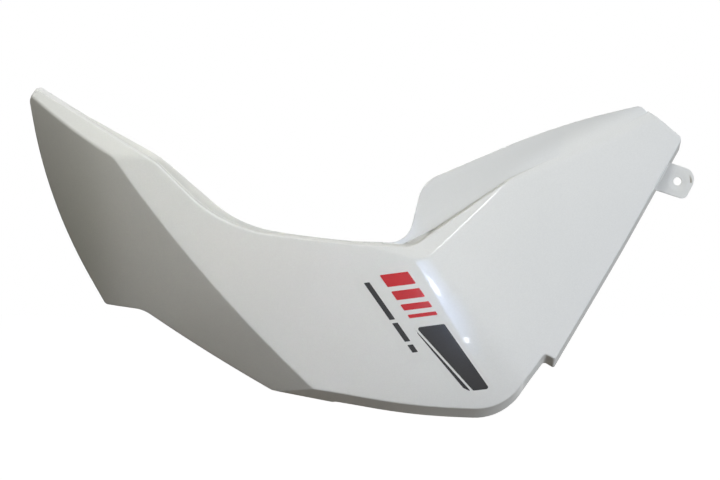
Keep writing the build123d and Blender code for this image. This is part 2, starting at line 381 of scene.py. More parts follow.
@dataclass(frozen=True)
class PearlPaint:
    """Pearl white paint under clear lacquer: cool white with a soft wide sheen below a sharp wet gloss.

    Sizes are in mm and turns in degrees.
    """

    colour: str = "#e4e5e3"
    cloud: str = "#dfe1df"
    # The next two tones are painted shade, for the valleys and for the tail's ledge
    valley_shade: str = "#cfd0cd"
    ledge_shade: str = "#d0d1ce"
    mark: str = "#9d998d"
    roughness: float = 0.4
    base_gloss: float = 0.4
    lacquer_roughness: float = 0.045
    lacquer_ior: float = 1.48
    cloud_size: float = 60.0
    cloud_detail: float = 3.0
    flake_size: float = 0.8
    flake_change: float = 0.02
    peel_size: float = 2.6
    peel_detail: float = 1.0
    peel_depth: float = 0.006
    edge_radius: float = 0.9
    edge_samples: int = 8
    valley_reach: float = 12.0
    valley_samples: int = 12
    valley_share: Pair = (0.92, 0.79)
    shade_along: Pair = (-180.0, -50.0)
    shade_least: float = 0.4
    shade_line: Triple = (-138.2, 0.0, -0.9)
    shade_turn: float = 26.2
    shade_depth: Pair = (-1.0, 13.0)
    shade_joint: Pair = (-150.0, -110.0)
    dish_radius: Pair = (3.0, 8.0)
    dish_depth: float = 0.5
    mark_radius: Pair = (10.1, 10.7)
    mark_soft: Pair = (0.8, 0.8)
    mark_turn: Pair = (-4.0, 3.0)
    mark_fade: Pair = (6.0, 32.0)

    def make(self) -> bpy.types.Material:
        """Make the paint, with softened edges, a dish round the tab's hole and orange peel in the lacquer.

        Returns:
            The material.
        """
        material, tree, output = new_material("pearl_white_paint_under_lacquer")
        place = add_node(tree, "ShaderNodeTexCoord").outputs["Object"]
        reach, mark = self.tab_marks(tree, place)
        colour = self.colouring(tree, place, mark)
        edge = add_node(tree, "ShaderNodeBevel", {"samples": self.edge_samples, "Radius": self.edge_radius * MM})
        dish = add_node(tree, "ShaderNodeMapRange", SMOOTH | {
            "From Min": self.dish_radius[0] * MM, "From Max": self.dish_radius[1] * MM}, {"Value": reach})
        form = add_node(tree, "ShaderNodeBump", {"Strength": 1.0, "Distance": self.dish_depth * MM},
                        {"Height": dish.outputs[0], "Normal": edge.outputs[0]})
        peel = add_node(tree, "ShaderNodeTexNoise", {
            "Scale": 1 / (self.peel_size * MM), "Detail": self.peel_detail}, {"Vector": place})
        bump = add_node(tree, "ShaderNodeBump", {"Strength": 1.0, "Distance": self.peel_depth * MM},
                        {"Height": peel.outputs["Fac"], "Normal": form.outputs[0]})
        shader = add_node(tree, "ShaderNodeBsdfPrincipled", {
            "Roughness": self.roughness, "Specular IOR Level": self.base_gloss, "Coat Weight": 1.0,
            "Coat Roughness": self.lacquer_roughness, "Coat IOR": self.lacquer_ior,
        }, {"Base Color": colour, "Normal": form.outputs[0], "Coat Normal": bump.outputs[0]})
        tree.links.new(shader.outputs[0], output.inputs["Surface"])
        return material

    def colouring(self, tree: Tree, place: Socket, mark: Socket) -> Socket:
        """Colour the paint: clouds and pearl flakes, painted shade in its valleys and on the tail's ledge, a dark
        crescent mark.

        Args:
            tree: the paint's node tree.
            place: the surface place, in metres.
            mark: the strength of the dark crescent mark.

        Returns:
            The colour.
        """
        cloud = add_node(tree, "ShaderNodeTexNoise", {
            "Scale": 1 / (self.cloud_size * MM), "Detail": self.cloud_detail}, {"Vector": place})
        colour = add_node(tree, "ShaderNodeMix", COLOURS | {
            FIRST: linear(self.colour), SECOND: linear(self.cloud)}, {SHARE: cloud.outputs["Fac"]}).outputs[MIXED]
        # Real flakes are about 0.03 mm, too fine for a picture, so they are drawn coarser
        flake = add_node(tree, "ShaderNodeTexVoronoi", {"Scale": 1 / (self.flake_size * MM)}, {"Vector": place})
        shine = add_node(tree, "ShaderNodeMapRange", {
            "To Min": 1 - self.flake_change, "To Max": 1 + self.flake_change}, {"Value": flake.outputs["Color"]})
        colour = add_node(tree, "ShaderNodeVectorMath", {"operation": "SCALE"},
                          {0: colour, "Scale": shine.outputs[0]}).outputs[0]
        # Painted shade: the colour darkens where ambient occlusion finds walls close by, as shade in the valleys
        openness = add_node(tree, "ShaderNodeAmbientOcclusion", {
            "samples": self.valley_samples, "only_local": True, "Distance": self.valley_reach * MM})
        valley = add_node(tree, "ShaderNodeMapRange", {
            "From Min": self.valley_share[0], "From Max": self.valley_share[1]}, {"Value": openness.outputs["AO"]})
        for tone, share in ((self.valley_shade, valley.outputs[0]), (self.ledge_shade, self.ledge_shading(tree, place)),
                            (self.mark, mark)):
            colour = add_node(tree, "ShaderNodeMix", COLOURS | {SECOND: linear(tone)},
                              {SHARE: share, FIRST: colour}).outputs[MIXED]
        return colour

    def ledge_shading(self, tree: Tree, place: Socket) -> Socket:
        """Darken the tail's ledge and strip with painted shade, more so towards the rear.

        Args:
            tree: the paint's node tree.
            place: the surface place, in metres.

        Returns:
            The share of painted shade.
        """
        # Painted shade: a darker tone over the tail's ledge and the strip above its lip, stronger towards the rear
        turn = math.radians(self.shade_turn)
        along = add_node(tree, "ShaderNodeSeparateXYZ", None, {0: place}).outputs["X"]
        share = add_node(tree, "ShaderNodeMapRange", {
            "From Min": self.shade_along[0] * MM, "From Max": self.shade_along[1] * MM, "To Min": self.shade_least,
        }, {"Value": along})
        from_line = add_node(tree, "ShaderNodeVectorMath", {
            "operation": "SUBTRACT", 1: [part * MM for part in self.shade_line]}, {0: place})
        above = add_node(tree, "ShaderNodeVectorMath", {
            "operation": "DOT_PRODUCT", 1: (-math.sin(turn), 0.0, math.cos(turn))}, {0: from_line.outputs[0]})
        strip = add_node(tree, "ShaderNodeMapRange", SMOOTH | {
            "From Min": self.shade_depth[0] * MM, "From Max": self.shade_depth[1] * MM},
            {"Value": above.outputs["Value"]})
        joint = add_node(tree, "ShaderNodeMapRange", SMOOTH | {
            "From Min": self.shade_joint[0] * MM, "From Max": self.shade_joint[1] * MM}, {"Value": along})
        ledge = add_node(tree, "ShaderNodeAttribute", {"attribute_name": "ledge"})
        # Before the joint the ledge's own points tell where it is, and past it the line along the strip does
        both = add_node(tree, "ShaderNodeMix", None,
                        {0: joint.outputs[0], 2: ledge.outputs["Fac"], 3: strip.outputs[0]})
        return add_node(tree, "ShaderNodeMath", {"operation": "MULTIPLY"},
                        {0: share.outputs[0], 1: both.outputs[0]}).outputs[0]

    def tab_marks(self, tree: Tree, place: Socket) -> tuple[Socket, Socket]:
        """Draw a dark crescent mark beside the tab's hole, which is the origin.

        Args:
            tree: the paint's node tree.
            place: the surface place, in metres.

        Returns:
            The distance from the hole's axis and the strength of the mark.
        """
        parts = add_node(tree, "ShaderNodeSeparateXYZ", None, {0: place})
        flat = add_node(tree, "ShaderNodeCombineXYZ", None, {"X": parts.outputs["X"], "Y": parts.outputs["Z"]})
        reach = add_node(tree, "ShaderNodeVectorMath", {"operation": "LENGTH"},
                         {0: flat.outputs[0]}).outputs["Value"]
        turn = add_node(tree, "ShaderNodeMath", {"operation": "ARCTAN2"},
                        {0: parts.outputs["Z"], 1: parts.outputs["X"]}).outputs[0]
        ring_band = self.between(tree, reach, np.multiply(self.mark_radius, MM), np.multiply(self.mark_soft, MM))
        arc = self.between(tree, turn, np.radians(self.mark_turn), np.radians(self.mark_fade))
        return reach, add_node(tree, "ShaderNodeMath", {"operation": "MULTIPLY"}, {0: ring_band, 1: arc}).outputs[0]

    def between(self, tree: Tree, value: Socket, ends: np.ndarray, fade: np.ndarray) -> Socket:
        """Give one between two ends, fading to nought past each.

        Args:
            tree: the node tree.
            value: the value that is tested.
            ends: the lower and the upper end.
            fade: how far it fades below the lower end and above the upper one.

        Returns:
            The share from nought to one.
        """
        rise, fall = (
            add_node(tree, "ShaderNodeMapRange", SMOOTH | {"From Min": start, "From Max": end}, {"Value": value})
            for start, end in ((ends[0] - fade[0], ends[0]), (ends[1] + fade[1], ends[1])))
        return add_node(tree, "ShaderNodeMath", {"operation": "MULTIPLY"},
                        {0: rise.outputs[0], 1: fall.outputs[0]}).outputs[0]


@dataclass(frozen=True)
class BareMoulding:
    """White ABS as it leaves the mould: satin, finely textured, with a haze of paint along its rim.

    Sizes are in mm.
    """

    colour: str = "#d8d6cd"
    haze: str = "#e2e3e1"
    roughness: float = 0.5
    ior: float = 1.53
    grain_size: float = 0.9
    grain_detail: float = 2.0
    grain_depth: float = 0.02
    grain_strength: float = 0.6
    haze_reach: Pair = (2.0, 20.0)
    haze_patch: float = 9.0
    haze_detail: float = 4.0

    def make(self) -> bpy.types.Material:
        """Make the plastic: overspray that thins out away from the rim, over a spark-eroded grain.

        Returns:
            The material.
        """
        material, tree, output = new_material("bare_moulded_abs")
        place = add_node(tree, "ShaderNodeTexCoord").outputs["Object"]
        rim = add_node(tree, "ShaderNodeAttribute", {"attribute_name": "rim_distance"})
        near = add_node(tree, "ShaderNodeMapRange", SMOOTH | {
            "From Min": self.haze_reach[1], "From Max": self.haze_reach[0]}, {"Value": rim.outputs["Fac"]})
        patch = add_node(tree, "ShaderNodeTexNoise", {
            "Scale": 1 / (self.haze_patch * MM), "Detail": self.haze_detail}, {"Vector": place})
        haze = add_node(tree, "ShaderNodeMath", {"operation": "MULTIPLY"},
                        {0: near.outputs[0], 1: patch.outputs["Fac"]})
        colour = add_node(tree, "ShaderNodeMix", COLOURS | {
            FIRST: linear(self.colour), SECOND: linear(self.haze)}, {SHARE: haze.outputs[0]})
        # A spark-eroded grain is about 0.2 mm; it is drawn coarser so that it shows
        grain = add_node(tree, "ShaderNodeTexNoise", {
            "Scale": 1 / (self.grain_size * MM), "Detail": self.grain_detail}, {"Vector": place})
        bump = add_node(tree, "ShaderNodeBump", {
            "Strength": self.grain_strength, "Distance": self.grain_depth * MM}, {"Height": grain.outputs["Fac"]})
        shader = add_node(tree, "ShaderNodeBsdfPrincipled", {"Roughness": self.roughness, "IOR": self.ior},
                          {"Base Color": colour.outputs[MIXED], "Normal": bump.outputs[0]})
        tree.links.new(shader.outputs[0], output.inputs["Surface"])
        return material


@dataclass(frozen=True)
class PrintedFilm:
    """Printed vinyl: an even ink with a fine print grain under a clear laminate with a soft gloss.

    The grain's size is in mm.
    """

    name: str
    colour: str
    worn: str
    gloss_roughness: float = 0.17
    base_gloss: float = 0.0
    base_roughness: float = 0.4
    laminate_ior: float = 1.5
    grain_size: float = 1.2
    grain_detail: float = 5.0

    def make(self) -> bpy.types.Material:
        """Make the film, with its ink slightly uneven.

        Returns:
            The material.
        """
        material, tree, output = new_material(self.name)
        place = add_node(tree, "ShaderNodeTexCoord").outputs["Object"]
        grain = add_node(tree, "ShaderNodeTexNoise", {
            "Scale": 1 / (self.grain_size * MM), "Detail": self.grain_detail}, {"Vector": place})
        colour = add_node(tree, "ShaderNodeMix", COLOURS | {
            FIRST: linear(self.colour), SECOND: linear(self.worn)}, {SHARE: grain.outputs["Fac"]})
        shader = add_node(tree, "ShaderNodeBsdfPrincipled", {
            "Roughness": self.base_roughness, "Specular IOR Level": self.base_gloss, "Coat Weight": 1.0,
            "Coat IOR": self.laminate_ior, "Coat Roughness": self.gloss_roughness,
        }, {"Base Color": colour.outputs[MIXED]})
        tree.links.new(shader.outputs[0], output.inputs["Surface"])
        return material


class Ink(Enum):
    """Printed films of the stripes."""

    CHARCOAL = PrintedFilm("charcoal_vinyl", "#1e1e21", "#27272a")
    RED = PrintedFilm("red_vinyl", "#c41420", "#cc1b27")
    CLEAR = PrintedFilm("clear_film_over_paint", "#e3e4e2", "#dfe0de", gloss_roughness=0.1, base_gloss=0.45)


@dataclass
class FairingPanel:
    """The moulded panel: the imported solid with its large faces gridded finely, so that gloss runs smoothly.

    Sizes are in mm and angles in degrees; a facing is the least share of a face's normal along Y.
    """

    form: SkinForm = SkinForm()
    paint: PearlPaint = PearlPaint()
    plastic: BareMoulding = BareMoulding()
    name: str = "painted_panel"
    node: str = "fairing_panel"
    weld: float = 0.01
    merge: float = 1e-5
    spacing: float = 3.0
    fine_share: int = 8
    hidden_share: int = 2
    on_sheet: float = 0.05
    sheet_facing: float = 0.3
    ridge_depth: float = 0.0005
    clearance: float = 0.3
    crease_angle: float = 35.0
    probe: float = 0.4
    ledge_span: Pair = (-25.0, 172.0)
    ledge_facing: float = 0.6
    draws: tuple[Triple, ...] = ((0.0, 1.0, 0.0), (0.0, 1.0, 0.35), (0.0, 1.0, -0.58), (0.525, 1.0, 0.354))
    points: np.ndarray = field(init=False)
    triangles: np.ndarray = field(init=False)
    normals: np.ndarray = field(init=False)

    def build(self) -> bpy.types.Object:
        """Make the panel's mesh from the solid, with fine grids on its large faces.

        Returns:
            The panel, standing for the solid.
        """
        self.read_solid()
        for side, wall in ((Side.OUTER, 0.0), (Side.INNER, self.form.wall)):
            for drop in (0.0, self.form.ledge_drop):
                self.regrid(drop + wall, side)
        sides = self.sides()
        places = (self.points - np.array(self.form.origin)) * MM
        panel = new_object(self.name, places, self.triangles.tolist())
        mesh = panel.data
        mesh.polygons.foreach_set("material_index", sides)
        mesh.polygons.foreach_set("use_smooth", np.ones(len(self.triangles), bool))
        for label, values in (("rim_distance", self.rim_distance(sides)), ("ledge", self.ledge_points())):
            mesh.attributes.new(label, "FLOAT", "POINT").data.foreach_set("value", values)
        mesh.update()
        mesh.set_sharp_from_angle(angle=math.radians(self.crease_angle))
        self.set_normals(mesh)
        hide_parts(self.node)
        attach(panel, "root")
        return panel

    def dress(self, panel: bpy.types.Object) -> None:
        """Paint the outside and leave the inside bare, in the order of the Side values."""
        for finish in (self.paint, self.plastic):
            panel.data.materials.append(finish.make())

    def read_solid(self) -> None:
        """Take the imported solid's welded triangles, in mm from the datum corner."""
        solid = bmesh.new()
        solid.from_mesh(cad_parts[self.node].data)
        bmesh.ops.remove_doubles(solid, verts=solid.verts, dist=self.weld * MM)
        bmesh.ops.triangulate(solid, faces=solid.faces)
        solid.verts.index_update()
        self.points = np.array([v.co for v in solid.verts]) / MM + np.array(self.form.origin)
        self.triangles = np.array([[v.index for v in face.verts] for face in solid.faces])
        self.normals = np.zeros_like(self.points)
        solid.free()

    def face_normals(self) -> np.ndarray:
        """Unit normals of the triangles."""
        return unit_rows(crosses(self.points, self.triangles))

    def lattice(self, low: np.ndarray, high: np.ndarray, inset: float) -> np.ndarray:
        """Choose places for a sheet's inner points, closer together along rounded ridges.

        Args:
            low: lowest X and Z.
            high: highest X and Z.
            inset: the sheet's inset.

        Returns:
            Rows of X and Z.
        """
        share = self.fine_share if inset == 0 else self.hidden_share
        step = self.spacing / share
        columns = np.arange(low[0], high[0], step)
        rows = np.arange(low[1], high[1], step * math.sqrt(0.75))
        column, row = np.meshgrid(np.arange(len(columns)), np.arange(len(rows)))
        x = (columns[column] + (row % 2) * step / 2).ravel()
        z = rows[row].ravel()
        shift = (row // share % 2) * (share // 2)
        coarse = (row % share == 0) & ((column + shift) % share == 0)
        rounding = self.form.sheet(x, z, inset).depth - self.form.sheet(x, z, inset, rounded=False).depth
        keep = coarse.ravel() | (rounding > self.ridge_depth)
        return np.column_stack([x[keep], z[keep]])

    def regrid(self, inset: float, side: Side) -> None:
        """Give the faces that lie on one sheet of the skin an even grid.

        Args:
            inset: the sheet's inset.
            side: whether the sheet looks out or in.
        """
        sheet = self.form.sheet(self.points[:, 0], self.points[:, 2], inset)
        on = np.abs(self.points[:, 1] - sheet.depth) < self.on_sheet
        mine = on[self.triangles].all(axis=1) & (self.face_normals()[:, 1] * side.way > self.sheet_facing)
        old = self.triangles[mine]
        flat = BVHTree.FromPolygons([Vector((p[0], 0.0, p[2])) for p in self.points], old.tolist())
        border = [(min(edge), max(edge)) for edge in open_edges(old)]
        near = self.border_tree(border)
        rim = sorted({index for edge in border for index in edge})
        outline = self.points[rim][:, [0, 2]]
        lattice = self.lattice(outline.min(axis=0), outline.max(axis=0), inset)
        inner = [p for p in lattice if self.inside(flat, p) and self.clear(near, p)]
        order = {index: place for place, index in enumerate(rim)}
        walls = [(order[a], order[b]) for a, b in border]
        places = [Vector(p) for p in np.vstack([outline, np.array(inner)])]
        made, _, cells, sources = delaunay_2d_cdt(places, walls, [], 0, self.merge)[:4]
        made = np.array([p[:] for p in made])
        new_ids = np.array([rim[source[0]] if source and source[0] < len(rim) else -1 for source in sources])
        fresh = new_ids < 0
        new_ids[fresh] = len(self.points) + np.arange(fresh.sum())
        skin = self.form.sheet(made[:, 0], made[:, 1], inset)
        added = np.column_stack([made[:, 0], skin.depth, made[:, 1]])[fresh]
        self.points = np.vstack([self.points, added])
        self.normals = np.vstack([self.normals, np.zeros_like(added)])
        self.normals[new_ids] = -side.way * skin.normals()
        kept = np.array([cell for cell in cells if self.inside(flat, made[list(cell)].mean(axis=0))])
        self.triangles = np.vstack([self.triangles[~mine], self.turned(new_ids[kept], side.way)])

    def border_tree(self, border: list[Edge]) -> KDTree:
        """Make a search tree of points along a sheet's border.

        Args:
            border: pairs of point numbers.

        Returns:
            The tree, with points no further apart than a third of the spacing.
        """
        samples = []
        for first, second in border:
            start, end = self.points[first], self.points[second]
            count = max(2, int(np.linalg.norm(end - start) / self.spacing * 3) + 1)
            samples += [start + (end - start) * share for share in np.linspace(0, 1, count)]
        return point_tree([(sample[0], 0.0, sample[2]) for sample in samples])

    def inside(self, flat: BVHTree, place: np.ndarray) -> bool:
        """Whether a place lies inside a sheet, seen from the side."""
        return flat.ray_cast(Vector((place[0], -1.0, place[1])), Vector((0.0, 1.0, 0.0)))[0] is not None

    def clear(self, near: KDTree, place: np.ndarray) -> bool:
        """Whether a place keeps clear of a sheet's border."""
        return near.find((place[0], 0.0, place[1]))[2] > self.clearance

    def turned(self, cells: np.ndarray, way: int) -> np.ndarray:
        """Triangles with their corners in the order that makes them look along Y in a given sense."""
        wrong = crosses(self.points, cells)[:, 1] * way < 0
        return np.where(wrong[:, None], cells[:, ::-1], cells)

    def sides(self) -> np.ndarray:
        """Tell the painted outside from the bare inside.

        Returns:
            A Side value for each triangle: a face is inside if the skin stands before it in every draw.
        """
        tree = BVHTree.FromPolygons([Vector(p) for p in self.points], self.triangles.tolist())
        centres = self.points[self.triangles].mean(axis=1) + self.probe * self.face_normals()
        ways = [-Vector(draw).normalized() for draw in self.draws]
        found = []
        for centre in centres:
            hidden = all(tree.ray_cast(Vector(centre), way)[0] is not None for way in ways)
            found.append((Side.INNER if hidden else Side.OUTER).value)
        return np.array(found)

    def rim_distance(self, sides: np.ndarray) -> np.ndarray:
        """Measure how far each point lies from the line where the outside meets the inside.

        Args:
            sides: a Side value for each triangle.

        Returns:
            Distances in mm.
        """
        touched = np.zeros((len(self.points), len(Side)), bool)
        for side in Side:
            touched[self.triangles[sides == side.value].ravel(), side.value] = True
        tree = point_tree(self.points[touched.all(axis=1)])
        return np.array([tree.find(point)[2] for point in self.points])

    def ledge_points(self) -> np.ndarray:
        """Find the tail's ledge, the one outer face that lies apart from the skin's sheets.

        Returns:
            One for each of its points and nought for the others.
        """
        apart = ~self.normals.any(axis=1)
        mine = apart[self.triangles].all(axis=1) & (self.face_normals()[:, 1] < -self.ledge_facing)
        found = np.zeros(len(self.points))
        found[np.unique(self.triangles[mine])] = 1.0
        found[(self.points[:, 0] < self.ledge_span[0]) | (self.points[:, 0] > self.ledge_span[1])] = 0.0
        return found

    def corner_normals(self) -> np.ndarray:
        """Work out shading normals, so that broad faces stay flat and narrow rounds take the turn.

        Returns:
            One row for each triangle's corner: the mean of the faces round its point that lie within the
            crease angle, each weighted by its area.
        """
        normals = self.face_normals()
        areas = np.linalg.norm(crosses(self.points, self.triangles), axis=1)
        order = np.argsort(self.triangles.ravel(), kind="stable")
        starts = np.searchsorted(self.triangles.ravel()[order], np.arange(len(self.points) + 1))
        least = math.cos(math.radians(self.crease_angle))
        found = np.zeros((len(order), 3))
        for start, end in zip(starts[:-1], starts[1:]):
            corners = order[start:end]
            around = normals[corners // 3]
            joined = around @ around.T > least
            found[corners] = joined @ (around * areas[corners // 3, None])
        return unit_rows(found)

    def set_normals(self, mesh: bpy.types.Mesh) -> None:
        """Give points on the skin's sheets their true normals, where a face lies near enough to the sheet.

        Args:
            mesh: the panel's mesh.
        """
        corners = self.corner_normals()
        exact = self.normals[self.triangles.ravel()]
        faces = np.repeat(self.face_normals(), 3, axis=0)
        close = (exact * faces).sum(axis=1) > math.cos(math.radians(self.crease_angle))
        corners[close] = exact[close]
        mesh.normals_split_custom_set(corners.astype(np.float32))


@dataclass(frozen=True)
class Stripe:
    """One flat shape of the stripe film, in mm along the fold and across it."""

    name: str
    ink: Ink
    corners: tuple[Pair, ...]
    radius: float = 0.6
    lift: float = 0.16


@dataclass
class StripeFilm:
    """Stripes of vinyl film, a fraction of a millimetre thick, that follow the skin beside the fold.

    Sizes are in mm; a slash or dash has its start and its length along the fold, and shares its rows and lean.
    """

    form: SkinForm = SkinForm()
    centre: Pair = (2.0, -52.0)
    turn: float = 55.0
    spacing: float = 1.5
    merge: float = 1e-4
    skirt: float = 0.2
    crease_angle: float = 30.0
    arc_steps: int = 5
    carrier: tuple[Pair, ...] = (
        (-62.0, -25.0), (16.0, -25.0), (24.0, -9.0), (66.0, -9.0), (72.0, 16.0), (-52.0, 16.0))
    carrier_radius: float = 4.0
    carrier_lift: float = 0.08
    wedge: tuple[Pair, ...] = ((-4.0, -6.0), (60.0, 2.0), (66.0, 13.0), (6.0, 13.0))
    wedge_radius: float = 1.5
    sliver: tuple[Pair, ...] = ((-10.0, -8.6), (-4.0, -7.6), (60.0, 0.4), (54.0, -3.0))
    slashes: tuple[Pair, ...] = ((-52.0, 11.0), (-37.0, 8.0), (-25.0, 5.5), (-15.6, 3.2))
    slash_rows: Pair = (-6.0, 13.0)
    slash_lean: float = 10.0
    dashes: tuple[Pair, ...] = ((-54.0, 34.0), (-17.0, 17.0), (3.0, 7.0))
    dash_rows: Pair = (-19.0, -15.2)
    dash_lean: float = 2.0
    fine_radius: float = 0.4

    def build(self) -> list[bpy.types.Object]:
        """Lay every stripe on the skin, to ride on the panel's body."""
        finishes = {ink: ink.value.make() for ink in Ink}
        return [self.lay(stripe, finishes[stripe.ink]) for stripe in self.stripes()]

    def stripes(self) -> list[Stripe]:
        """List the shapes, from the clear carrier up.

        Returns:
            The carrier, the wedge with its sliver, the slashes and the dashes.
        """
        made = [
            Stripe("clear_carrier", Ink.CLEAR, self.carrier, self.carrier_radius, self.carrier_lift),
            Stripe("charcoal_wedge", Ink.CHARCOAL, self.wedge, self.wedge_radius),
            Stripe("charcoal_sliver", Ink.CHARCOAL, self.sliver, self.fine_radius),
        ]
        for number, span in enumerate(self.slashes, 1):
            corners = self.leaning(span, self.slash_rows, self.slash_lean)
            made.append(Stripe(f"red_slash_{number}", Ink.RED, corners))
        for number, span in enumerate(self.dashes, 1):
            corners = self.leaning(span, self.dash_rows, self.dash_lean)
            made.append(Stripe(f"charcoal_dash_{number}", Ink.CHARCOAL, corners, self.fine_radius))
        return made

    def leaning(self, span: Pair, rows: Pair, lean: float) -> tuple[Pair, ...]:
        """Corners of a bar from its start and length, its lower and upper row, and how far it leans over."""
        start, end = span[0], span[0] + span[1]
        return ((start, rows[0]), (end, rows[0]), (end + lean, rows[1]), (start + lean, rows[1]))

    def rounded(self, stripe: Stripe) -> np.ndarray:
        """Round the corners of a stripe's outline.

        Args:
            stripe: the shape.

        Returns:
            Rows of the outline, along and across.
        """
        rows = []
        corners = [np.array(corner) for corner in stripe.corners]
        for place, corner in enumerate(corners):
            before = corners[place - 1] - corner
            after = corners[(place + 1) % len(corners)] - corner
            before /= np.linalg.norm(before)
            after /= np.linalg.norm(after)
            opening = math.acos(float(np.clip(before @ after, -1, 1)))
            middle = (before + after) / np.linalg.norm(before + after)
            centre = corner + middle * stripe.radius / math.sin(opening / 2)
            start = corner + before * stripe.radius / math.tan(opening / 2) - centre
            end = corner + after * stripe.radius / math.tan(opening / 2) - centre
            for share in np.linspace(0, 1, self.arc_steps):
                way = start * (1 - share) + end * share
                rows.append(centre + way / np.linalg.norm(way) * stripe.radius)
        return np.array(rows)

    def filled(self, edge: np.ndarray) -> tuple[np.ndarray, np.ndarray]:
        """Fill an outline with triangles on an even grid.

        Args:
            edge: rows of the outline.

        Returns:
            The points and the triangles.
        """
        ring = []
        for first, second in zip(edge, np.roll(edge, -1, axis=0)):
            count = max(1, int(np.linalg.norm(second - first) / self.spacing))
            ring += [first + (second - first) * share for share in np.arange(count) / count]
        # The grid starts half a step in, so that none of its points lies on the outline
        low, high = edge.min(axis=0) + self.spacing / 2, edge.max(axis=0)
        columns, rows = np.meshgrid(*(np.arange(low[i], high[i], self.spacing) for i in range(2)))
        grid = np.column_stack([columns.ravel(), rows.ravel()])
        walls = [(place, (place + 1) % len(ring)) for place in range(len(ring))]
        found = delaunay_2d_cdt([Vector(p) for p in np.vstack([ring, grid])], walls, [], 1, self.merge)
        return np.array([p[:] for p in found[0]]), np.array(found[2])

    def lay(self, stripe: Stripe, finish: bpy.types.Material) -> bpy.types.Object:
        """Bend one flat shape onto the skin and close its edge down to the paint.

        Args:
            stripe: the shape.
            finish: its material.

        Returns:
            The stripe as an object.
        """
        points, triangles = self.filled(self.rounded(stripe))
        turn = math.radians(self.turn)
        x = self.centre[0] + points[:, 0] * math.cos(turn) + points[:, 1] * math.sin(turn)
        z = self.centre[1] - points[:, 0] * math.sin(turn) + points[:, 1] * math.cos(turn)
        skin = self.form.sheet(x, z, 0.0)
        normals = skin.normals()
        top = np.column_stack([x, skin.depth, z]) - np.array(self.form.origin) + stripe.lift * normals
        foot = top - self.skirt * normals
        if crosses(top, triangles[:1])[0, 1] > 0:
            triangles = triangles[:, ::-1]
        count = len(top)
        rim = [[second, first, first + count, second + count] for first, second in open_edges(triangles)]
        faces = triangles.tolist() + rim
        film = new_object(stripe.name, np.vstack([top, foot]) * MM, faces)
        film.data.polygons.foreach_set("use_smooth", np.ones(len(faces), bool))
        film.data.update()
        film.data.set_sharp_from_angle(angle=math.radians(self.crease_angle))
        film.data.materials.append(finish)
        self.drop_loose(film.data)
        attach(film, "root")
        return film

    def drop_loose(self, mesh: bpy.types.Mesh) -> None:
        """Take out points that no face uses.

        Args:
            mesh: the stripe's mesh.
        """
        shape = bmesh.new()
        shape.from_mesh(mesh)
        loose = [v for v in shape.verts if not v.link_faces]
        bmesh.ops.delete(shape, geom=loose, context="VERTS")
        shape.to_mesh(mesh)
        shape.free()


@dataclass(frozen=True)
class Lamp:
    """One soft box: its place, size, power in watts and tint, what it aims at, how wide it throws its light."""

    name: str
    place: Triple
    size: Pair
    power: float
    tint: str
    aim: Triple = (-0.2, -0.03, -0.05)
    spread: float = 180.0
    mirrored: bool = True

    def build(self) -> None:
        """Hang the soft box."""
        data = bpy.data.lights.new(self.name, "AREA")
        data.shape = "ELLIPSE"
        data.size, data.size_y = self.size
        data.spread = math.radians(self.spread)
        data.energy = self.power
        data.color = linear(self.tint)[:3]
        holder = bpy.data.objects.new(self.name, data)
        point_at(holder, self.place, self.aim)
        holder.visible_glossy = self.mirrored
        bpy.context.scene.collection.objects.link(holder)


@dataclass(frozen=True)
class Card:
    """One card beside the set that shows in the lacquer alone: its tone fades to white towards its rim."""

    name: str
    place: Triple
    aim: Triple
    size: Pair
    tone: str
    core: float

    def build(self) -> None:
        """Hang the card, aimed at its place on the panel."""
        card = new_object(self.name, SQUARE, [(0, 1, 2, 3)])
        card.scale = (self.size[0] / 2, self.size[1] / 2, 1.0)
        point_at(card, self.place, self.aim)
        card.visible_camera = card.visible_diffuse = card.visible_shadow = False
        material, tree, output = new_material(self.name)
        place = add_node(tree, "ShaderNodeTexCoord").outputs["Object"]
        away = add_node(tree, "ShaderNodeVectorMath", {"operation": "LENGTH"}, {0: place})
        rim = add_node(tree, "ShaderNodeMapRange", SMOOTH | {"From Min": self.core, "From Max": 1.0},
                       {"Value": away.outputs["Value"]})
        tone = add_node(tree, "ShaderNodeMix", COLOURS | {FIRST: linear(self.tone), SECOND: WHITE},
                        {SHARE: rim.outputs[0]})
        light = add_node(tree, "ShaderNodeEmission", {"Strength": 1.0}, {"Color": tone.outputs[MIXED]})
        tree.links.new(light.outputs[0], output.inputs["Surface"])
        card.data.materials.append(material)


